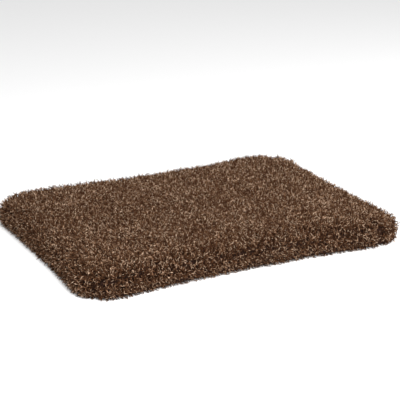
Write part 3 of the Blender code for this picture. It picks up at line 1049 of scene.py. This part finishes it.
def makeCover(form, material):
    mesh = form.data.copy()
    cover = newPiece("backing_cloth_knit", mesh, material)
    shape = bmesh.new()
    shape.from_mesh(mesh)
    middles = np.array([face.calc_center_median() for face in shape.faces])
    inset, _ = planPlace(middles)
    below = [
        face
        for face, depth, middle in zip(shape.faces, inset, middles)
        if middle[2] < cushion["baseHeld"] and depth > seamInset
    ]
    bmesh.ops.delete(shape, geom=below, context="FACES")
    # the cut edge is brought to the base seam's line
    edge = [vertex for vertex in shape.verts if vertex.is_boundary]
    points = np.array([vertex.co for vertex in edge])
    inset, outward = planPlace(points)
    for vertex, depth, way in zip(edge, inset, outward):
        shift = depth - seamInset
        vertex.co.x += way[0] * shift
        vertex.co.y += way[1] * shift
        vertex.co.z = coverCloth["edgeHeight"]
    shape.to_mesh(mesh)
    shape.free()
    mesh.shade_smooth()
    return cover


# the loose fibre inside: lumpy wadding that fills the cover and gives way to the seams

fibre = {
    "clearance": 0.0028,     # from the cover's face in to the fibre
    "lumpSize": 0.030,
    "lumpDepth": 0.0016,
    "aboveBase": 0.0018,
    "baseLumps": 0.3,        # share of the lumps that shows on the flat base
    "seamHeight": 0.0118,    # below this the fibre keeps clear of the seam's edges
    "seamInset": 0.0275,
    "seamFade": 0.003,
    "dartRoom": 0.0095,
    "softness": 0.4,
    "softenings": 2,
    "fill": 0.55,
}


def makeFibre(form):
    mesh = form.data.copy()
    mesh.name = "fibre_wadding"
    points, normals = pointsOf(mesh), normalsOf(mesh)
    lumps = fibre["lumpDepth"] * (1 + smoothNoise(points, fibre["lumpSize"], 4)) / 2
    depth = fibre["clearance"] + lumps + fibre["dartRoom"] * dartShare(points, cushion["dartWidth"])
    points -= normals * depth[:, None]
    inset, outward = planPlace(points)
    low = np.clip((fibre["seamHeight"] - points[:, 2]) / fibre["seamFade"] + 1, 0, 1)
    shift = np.maximum(fibre["seamInset"] - inset, 0) * low
    points[:, :2] -= outward * shift[:, None]
    points[:, 2] = np.maximum(points[:, 2], fibre["aboveBase"] + lumps * fibre["baseLumps"])
    setPoints(mesh, points)
    wadding = newPiece("fibre_wadding", mesh, loosePolyester())
    soften = wadding.modifiers.new("soften", "SMOOTH")
    soften.factor = fibre["softness"]
    soften.iterations = fibre["softenings"]
    plain = newPiece("polyester_wadding", evaluatedMesh(wadding, "polyester_wadding"))
    bpy.data.objects.remove(wadding)
    return plain


# the woven base: a flat sheet sewn in all round, faintly puckered by its seam

basePanel = {
    "gap": 0.0004,
    "thickness": 0.0005,
    "lowest": 0.0006,
    "rings": 34,
    "ringPower": 1.15,       # above 1 the rings lie closer together near the seam
    "outlineStep": 0.005,
    "puckerDepth": 0.0005,
    "puckerPitch": 0.013,
    "puckerReach": 0.015,
    "puckerTurn": 0.40,      # metres of seam for a radian round the middle, on average
    "puckerPatch": 0.05,
    "puckerUneven": 0.4,
    "edgeFlat": 0.004,
    "waveDepth": 0.0002,
    "waveSize": 0.09,
}


def makeBasePanel():
    edge = np.array(planOutline(seamInset + basePanel["gap"], basePanel["outlineStep"]))
    count = len(edge)
    scales = 1 - (np.arange(basePanel["rings"]) / basePanel["rings"]) ** basePanel["ringPower"]
    points, faces = [], []
    for scale in scales:
        points += [(x * scale, y * scale, 0.0) for x, y in edge]
    points.append((0.0, 0.0, 0.0))
    for ring in range(len(scales) - 1):
        low = ring * count
        for i in range(count):
            after = (i + 1) % count
            faces.append((low + i, low + count + i, low + count + after, low + after))
    last = (len(scales) - 1) * count
    faces += [(last + i, len(points) - 1, last + (i + 1) % count) for i in range(count)]
    mesh = meshFrom("woven_base", points, [tuple(reversed(face)) for face in faces])
    places = pointsOf(mesh)
    inset, _ = planPlace(places)
    fade = np.exp(-(inset - seamInset) / basePanel["puckerReach"])
    turn = np.arctan2(places[:, 1] / layHigh.y, places[:, 0] / layHigh.x)
    puckers = np.sin(2 * math.pi * turn * basePanel["puckerTurn"] / basePanel["puckerPitch"])
    uneven = basePanel["puckerUneven"]
    puckers *= 1 - uneven + uneven * smoothNoise(places, basePanel["puckerPatch"], 6)
    waves = smoothNoise(places, basePanel["waveSize"], 5)
    rise = basePanel["puckerDepth"] * fade * (0.5 + 0.5 * puckers) + basePanel["waveDepth"] * (1 + waves)
    places[:, 2] = basePanel["lowest"] + rise * np.clip((inset - seamInset) / basePanel["edgeFlat"], 0, 1)
    setPoints(mesh, places)
    panel = newPiece("woven_base", mesh, plainWeave())
    wall = panel.modifiers.new("clothThickness", "SOLIDIFY")
    wall.thickness = basePanel["thickness"]
    wall.offset = -1.0
    made = newPiece("woven_base_panel", evaluatedMesh(panel, "woven_base_panel"))
    bpy.data.objects.remove(panel)
    return made


# thread: overlocking over the seam edges inside, and edge stitching that closed the filling gap

thread = {
    "overlockPitch": 0.0032,
    "overlockReach": 0.0046,
    "overlockSpan": 0.0034,
    "stitchPitch": 0.0036,
    "stitchLength": 0.0027,
    "stitchRadius": 0.000286,
    "stitchPoints": 7,
    "stitchSag": 0.6,        # in radii, at its middle
    "loopPoints": 10,
    "loopLean": 0.35,
    "loopTurn": 0.6,
    "sway": 0.1,             # radians that a stitch may lie out of line
    "radius": 0.00022,
    "closingLength": 0.160,
    "seamStep": 0.006,
    "middleRoom": 0.01,      # more than a step, so that one point lies within it
    "seamFoot": 0.0018,
    "seamHeight": 0.009,
    "closingHeight": 0.006,
    "edgeInset": 0.003,      # from the base seam in to the row that closed it
    "edgeHeight": 0.00045,
}


def tubeAlong(name, path, radius, sides=4, closed=True):
    path = [Vector(point) for point in path]
    count = len(path)
    points, faces = [], []
    for i, place in enumerate(path):
        before = path[i - 1] if closed or i else place
        after = path[(i + 1) % count] if closed or i < count - 1 else place
        forward = (after - before).normalized()
        side = forward.cross(Vector((0.1, 0.2, 1))).normalized()
        up = forward.cross(side)
        for s in range(sides):
            angle = 2 * math.pi * s / sides
            points.append(place + radius * (math.cos(angle) * side + math.sin(angle) * up))
    for i in range(count if closed else count - 1):
        low, high = i * sides, (i + 1) % count * sides
        for s in range(sides):
            after = (s + 1) % sides
            faces.append((low + s, low + after, high + after, high + s))
    if not closed:
        faces += [tuple(reversed(range(sides))), tuple(range(len(points) - sides, len(points)))]
    return turnOutward(meshFrom(name, points, faces))


def overlockLoop():
    # one turn of thread round a seam's edge: along X, the edge at the top of Z
    reach, span, pitch = thread["overlockReach"], thread["overlockSpan"] / 2, thread["overlockPitch"]
    path = []
    for angle in np.linspace(0, 2 * math.pi, thread["loopPoints"], endpoint=False):
        across = span * math.sin(angle)
        rise = -reach / 2 + (reach / 2 + thread["radius"]) * math.cos(angle)
        path.append((pitch * thread["loopLean"] * math.sin(angle + thread["loopTurn"]), across, rise))
    return tubeAlong("overlock_loop", path, thread["radius"])


def runningStitch():
    # a short thread on the underside, which rises into the cloth at both ends
    half = thread["stitchLength"] / 2
    path = []
    for share in np.linspace(-1, 1, thread["stitchPoints"]):
        rise = thread["radius"] * ((1 + thread["stitchSag"]) * share**2 - thread["stitchSag"])
        path.append((half * share, 0, rise))
    return tubeAlong("running_stitch", path, thread["stitchRadius"], sides=6, closed=False)


def makeStitchTree():
    tree, given, keys = newTree(
        "stitchesAlongSeam", {"Pitch": "Float", "Stitch": "Object", "Sway": "Float", "Material": "Material"}
    )
    wish = given.outputs
    line = addNode(tree, "GeometryNodeMeshToCurve", {"Mesh": wish["Geometry"]})
    inputs = {"Curve": line, "Length": wish["Pitch"]}
    run = addNode(tree, "GeometryNodeResampleCurve", inputs, mode="LENGTH")
    inputs = {"Vector": addNode(tree, "GeometryNodeInputTangent")}
    facing = addNode(tree, "FunctionNodeAlignRotationToVector", inputs, axis="X", pivot_axis="Z")
    most = addNode(
        tree, "ShaderNodeVectorMath", {0: (1.0, 1.0, 1.0), "Scale": wish["Sway"]}, operation="SCALE"
    )
    least = addNode(tree, "ShaderNodeVectorMath", {0: most, "Scale": -1.0}, operation="SCALE")
    inputs = {"Min": least, "Max": most, "Seed": 3}
    lean = addNode(tree, "FunctionNodeRandomValue", inputs, data_type="FLOAT_VECTOR")
    sway = addNode(tree, "FunctionNodeEulerToRotation", {"Euler": lean})
    inputs = {"Rotation": facing, "Rotate By": sway}
    turned = addNode(tree, "FunctionNodeRotateRotation", inputs, rotation_space="LOCAL")
    stitch = addNode(tree, "GeometryNodeObjectInfo", {"Object": wish["Stitch"]})
    inputs = {"Points": run, "Instance": stitch.outputs["Geometry"], "Rotation": turned}
    row = addNode(tree, "GeometryNodeInstanceOnPoints", inputs)
    real = addNode(tree, "GeometryNodeRealizeInstances", {"Geometry": row})
    painted = addNode(tree, "GeometryNodeSetMaterial", {"Geometry": real, "Material": wish["Material"]})
    addNode(tree, "NodeGroupOutput", {"Geometry": painted})
    return tree, keys


def sewAlong(name, paths, stitchMesh, pitch, treeAndKeys, material):
    tree, keys = treeAndKeys
    points, edges = [], []
    for path in paths:
        edges += [(len(points) + i, len(points) + i + 1) for i in range(len(path) - 1)]
        points += path
    mesh = bpy.data.meshes.new(name)
    mesh.from_pydata(points, edges, [])
    line = newPiece(name, mesh)
    stitch = newPiece("stitch", stitchMesh)
    sew = line.modifiers.new("sew", "NODES")
    sew.node_group = tree
    wanted = {"Pitch": pitch, "Stitch": stitch, "Sway": thread["sway"], "Material": material}
    for title, value in wanted.items():
        sew[keys[title]] = value
    made = evaluatedMesh(line, name + "_thread")
    bpy.data.objects.remove(line)
    bpy.data.objects.remove(stitch)
    return newPiece(name, made)


def seamRuns():
    # the base seam's line in two: the filling gap at the middle of the back, and all the rest
    path = planOutline(seamInset, thread["seamStep"])
    near = thread["middleRoom"]
    start = next(i for i, (x, y) in enumerate(path) if y > 0 and x < 0 and abs(x) < near)
    path = path[start:] + path[:start]
    half = thread["closingLength"] / 2
    rest = [(x, y) for x, y in path if not (y > 0 and abs(x) < half)]
    closing = [(x, y) for x, y in path if y > 0 and abs(x) < half]
    closing.sort(key=lambda point: -point[0])
    return rest, closing


def makeStitching():
    tree = makeStitchTree()
    material = sewingThread()
    rest, closing = seamRuns()
    top = thread["seamFoot"] + thread["seamHeight"]
    edge = [(x, y, top) for x, y in rest]
    lower = [(x, y, thread["seamFoot"] + thread["closingHeight"]) for x, y in closing]
    overlock = sewAlong(
        "overlock_stitches", [edge, lower], overlockLoop(), thread["overlockPitch"], tree, material
    )
    inner = planPlace(np.array([(x, y, 0) for x, y in closing]))[1]
    inset, height = thread["edgeInset"], thread["edgeHeight"]
    row = [(x - out[0] * inset, y - out[1] * inset, height) for (x, y), out in zip(closing, inner)]
    closingRow = sewAlong(
        "closing_edge_stitches", [row], runningStitch(), thread["stitchPitch"], tree, material
    )
    return overlock, closingRow


# the boxed corners: each dart's folded allowance stands in behind the cover

corner = {
    "allowance": 0.0065,
    "thickness": 0.0024,
    "foot": 0.0125,
    "topAngle": math.radians(60),
    "gap": 0.0006,
    "rounding": 0.0006,
    "roundingSteps": 2,
    "steps": 7,
}


def makeCornerFin(name, xSide, ySide, material):
    outer = coverCloth["thickness"] + corner["gap"] + cushion["startDepth"] + cushion["dartDepth"]
    inner = outer + corner["allowance"]
    shoulder = plan["shoulderRadius"]
    rise = backingHigh.z - plan["crownRise"] - shoulder
    profile = [(outer, corner["foot"])]
    for angle in np.linspace(0, corner["topAngle"], corner["steps"]):
        reach = shoulder - outer
        profile.append((shoulder - reach * math.cos(angle), rise + reach * math.sin(angle)))
    for angle in np.linspace(corner["topAngle"], 0, corner["steps"]):
        reach = shoulder - inner
        profile.append((shoulder - reach * math.cos(angle), rise + reach * math.sin(angle)))
    profile.append((inner, corner["foot"]))
    heading = Vector((xSide * math.cos(dartAngle), ySide * math.sin(dartAngle), 0))
    aside = Vector((-heading.y, heading.x, 0)) * corner["thickness"] / 2
    reach = plan["cornerRadius"] - plan["pileDepth"]
    middle = Vector((xSide * cornerX, ySide * cornerY, 0)) + heading * reach
    points = []
    for side in (-1, 1):
        for inset, height in profile:
            points.append(middle - heading * inset + aside * side + Vector((0, 0, height)))
    count = len(profile)
    faces = [tuple(range(count)), tuple(reversed(range(count, 2 * count)))]
    faces += [(i, count + i, count + (i + 1) % count, (i + 1) % count) for i in range(count)]
    fin = newPiece(name, turnOutward(meshFrom(name, points, faces)), material)
    rounded = fin.modifiers.new("foldedEdge", "BEVEL")
    rounded.width = corner["rounding"]
    rounded.segments = corner["roundingSteps"]
    made = newPiece(name + "_fin", evaluatedMesh(fin, name + "_fin"))
    bpy.data.objects.remove(fin)
    return made


# the care label: blank satin ribbon folded double, leaving the base seam on the back

label = {
    "width": 0.032,
    "reach": 0.034,
    "fromMiddle": 0.120,
    "start": 0.0006,
    "lowest": 0.00035,
    "ply": 0.00022,
    "fold": 0.00026,
    "curlUp": 0.0022,
    "curlFrom": 0.022,       # the end curls up from this far out
    "curlUneven": 0.25,
    "pileFoot": 0.009,       # above the label the lowest pile is rooted this high, and stands up
    "pileLift": 1.0,
    "sideRoom": 0.006,
    "columns": 12,
    "steps": 16,
    "foldSteps": 7,
}


def makeLabel():
    radius = longRadius + seamInset
    turn = math.asin(label["fromMiddle"] / radius)
    origin = Vector((label["fromMiddle"], longCentre - radius * math.cos(turn), 0))
    along = Vector((-math.sin(turn), math.cos(turn), 0))
    across = Vector((math.cos(turn), math.sin(turn), 0))
    lower = [(x, 0.0) for x in np.linspace(label["start"], label["reach"] - label["fold"], label["steps"])]
    bend = [
        (label["reach"] - label["fold"] + label["fold"] * math.sin(a), label["fold"] * (1 - math.cos(a)))
        for a in np.linspace(0, math.pi, label["foldSteps"])[1:-1]
    ]
    upper = [(x, 2 * label["fold"]) for x, _ in reversed(lower)]
    centre = lower + bend + upper
    half = label["ply"] / 2
    outline = []
    for side in (1, -1):
        run = []
        for i, (x, z) in enumerate(centre):
            before, after = centre[max(i - 1, 0)], centre[min(i + 1, len(centre) - 1)]
            way = Vector((after[0] - before[0], after[1] - before[1])).normalized()
            run.append((x + side * half * way.y, z - side * half * way.x))
        outline += run if side > 0 else run[::-1]
    points, faces = [], []
    uneven = label["curlUneven"]
    for column in range(label["columns"] + 1):
        share = column / label["columns"]
        for x, z in outline:
            out = max(0.0, (x - label["curlFrom"]) / (label["reach"] - label["curlFrom"]))
            lift = label["curlUp"] * out**2 * (1 - uneven + uneven * math.cos(3 * share + 0.4))
            width = (share - 0.5) * label["width"]
            height = Vector((0, 0, label["lowest"] + z + lift))
            points.append(origin + along * x + across * width + height)
    count = len(outline)
    for column in range(label["columns"]):
        low = column * count
        for i in range(count):
            after = (i + 1) % count
            faces.append((low + i, low + after, low + count + after, low + count + i))
    faces += [tuple(range(count)), tuple(range(len(points) - count, len(points)))]
    mesh = meshFrom("care_ribbon", points, faces)
    shape = bmesh.new()
    shape.from_mesh(mesh)
    bmesh.ops.triangulate(shape, faces=[face for face in shape.faces if len(face.verts) > 4])
    shape.to_mesh(mesh)
    shape.free()
    return newPiece("care_ribbon", turnOutward(mesh), satinRibbon())


say("camera, light and floor")
makeStudio()
say("cushion form")
form = makeCushionForm()
say(f"cloth of {len(form.data.vertices)} points")
swell(form)
settleForm(form)
say("cover")
knit = warpKnit()
cover = makeCover(form, knit)
combCover(cover.data)
zoneCover(cover.data)
say("pile")
pileZones = growPile(cover)
say("fibre, base, seams and label")
wadding = makeFibre(form)
base = makeBasePanel()
overlock, closingRow = makeStitching()
ribbon = makeLabel()
for name in ("perimeter_seam", "closing_seam"):
    frame["nodes"][name].data.materials.clear()
    frame["nodes"][name].data.materials.append(knit)
fins = {}
for xName, xSide in (("left", -1), ("right", 1)):
    for yName, ySide in (("front", -1), ("back", 1)):
        node = f"corner_seam_{yName}_{xName}"
        fins[node] = makeCornerFin("dart_" + yName + "_" + xName, xSide, ySide, knit)
bpy.data.objects.remove(form)

wall = cover.modifiers.new("clothThickness", "SOLIDIFY")
wall.thickness = coverCloth["thickness"]
wall.offset = -1.0

say("what each piece rides on and stands for")
for zone in pileZones:
    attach(zone, bedBody)
    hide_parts("pile_layer")
pieces = [
    (cover, "backing_cloth", "backing_knit"),
    (wadding, "fibre_fill", "polyester_fibre"),
    (base, "base_panel", "base_weave"),
    (ribbon, "care_label", "label_satin"),
    (overlock, None, "seam_thread"),
    (closingRow, None, "seam_thread"),
    *((fin, node, "seam_thread") for node, fin in fins.items()),
]
for piece, node, slotName in pieces:
    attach(piece, bedBody)
    if node:
        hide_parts(node)
